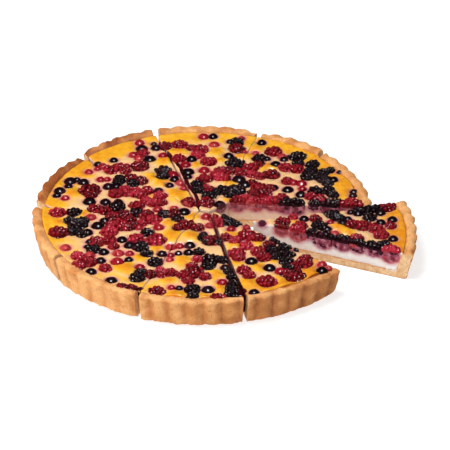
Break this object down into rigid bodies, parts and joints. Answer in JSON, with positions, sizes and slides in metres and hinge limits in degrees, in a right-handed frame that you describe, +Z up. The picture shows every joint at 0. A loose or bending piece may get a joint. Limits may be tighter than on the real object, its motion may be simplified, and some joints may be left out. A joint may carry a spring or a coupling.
{
  "type": "red berry tart",
  "caption": "Round fluted shortcrust tart filled with baked custard and mixed red and dark berries, cut into wedges, with a wedge drawn a little way out of the ring.",
  "frame": {"origin": "centre of the bounding box in plan, on the surface that the tart rests on", "axes": "+Z up; +X along the longest extent, towards the side where one wedge is drawn out; +Y away from the viewer's side of the picture"},
  "size_m": [0.3098, 0.2814, 0.0262],
  "materials": {
    "pastry": "baked shortcrust, dry and matt, browned along the rim and in the flutes",
    "custard": "set egg custard, smooth and slightly moist, pale where cut and golden on its domes",
    "raspberry": "soft baked red berry, wet and glossy",
    "bramble": "soft baked dark berry, wet and glossy"
  },
  "bodies": {
    "root": {"crust_slice_01": "pastry", "crust_slice_02": "pastry", "crust_slice_03": "pastry", "crust_slice_04": "pastry", "crust_slice_05": "pastry", "crust_slice_06": "pastry", "crust_slice_07": "pastry", "crust_slice_08": "pastry", "crust_slice_09": "pastry", "crust_slice_10": "pastry", "custard_slice_01": "custard", "custard_slice_02": "custard", "custard_slice_03": "custard", "custard_slice_04": "custard", "custard_slice_05": "custard", "custard_slice_06": "custard", "custard_slice_07": "custard", "custard_slice_08": "custard", "custard_slice_09": "custard", "custard_slice_10": "custard", "raspberry_01": "raspberry", "raspberry_02": "raspberry", "raspberry_03": "raspberry", "raspberry_04": "raspberry", "raspberry_05": "raspberry", "raspberry_06": "raspberry", "raspberry_07": "raspberry", "raspberry_08": "raspberry", "raspberry_09": "raspberry", "raspberry_10": "raspberry", "raspberry_11": "raspberry", "raspberry_12": "raspberry", "raspberry_13": "raspberry", "raspberry_14": "raspberry", "raspberry_15": "raspberry", "raspberry_16": "raspberry", "raspberry_17": "raspberry", "raspberry_18": "raspberry", "raspberry_19": "raspberry", "raspberry_20": "raspberry", "raspberry_21": "raspberry", "raspberry_cut_01": "raspberry", "raspberry_cut_02": "raspberry", "raspberry_cut_03": "raspberry", "raspberry_cut_04": "raspberry", "raspberry_cut_05": "raspberry", "bramble_01": "bramble", "bramble_02": "bramble", "bramble_03": "bramble", "bramble_04": "bramble", "bramble_05": "bramble", "bramble_06": "bramble", "bramble_07": "bramble", "bramble_08": "bramble", "bramble_cut_01": "bramble", "bramble_cut_02": "bramble", "bramble_cut_03": "bramble"}
  },
  "joints": []
}
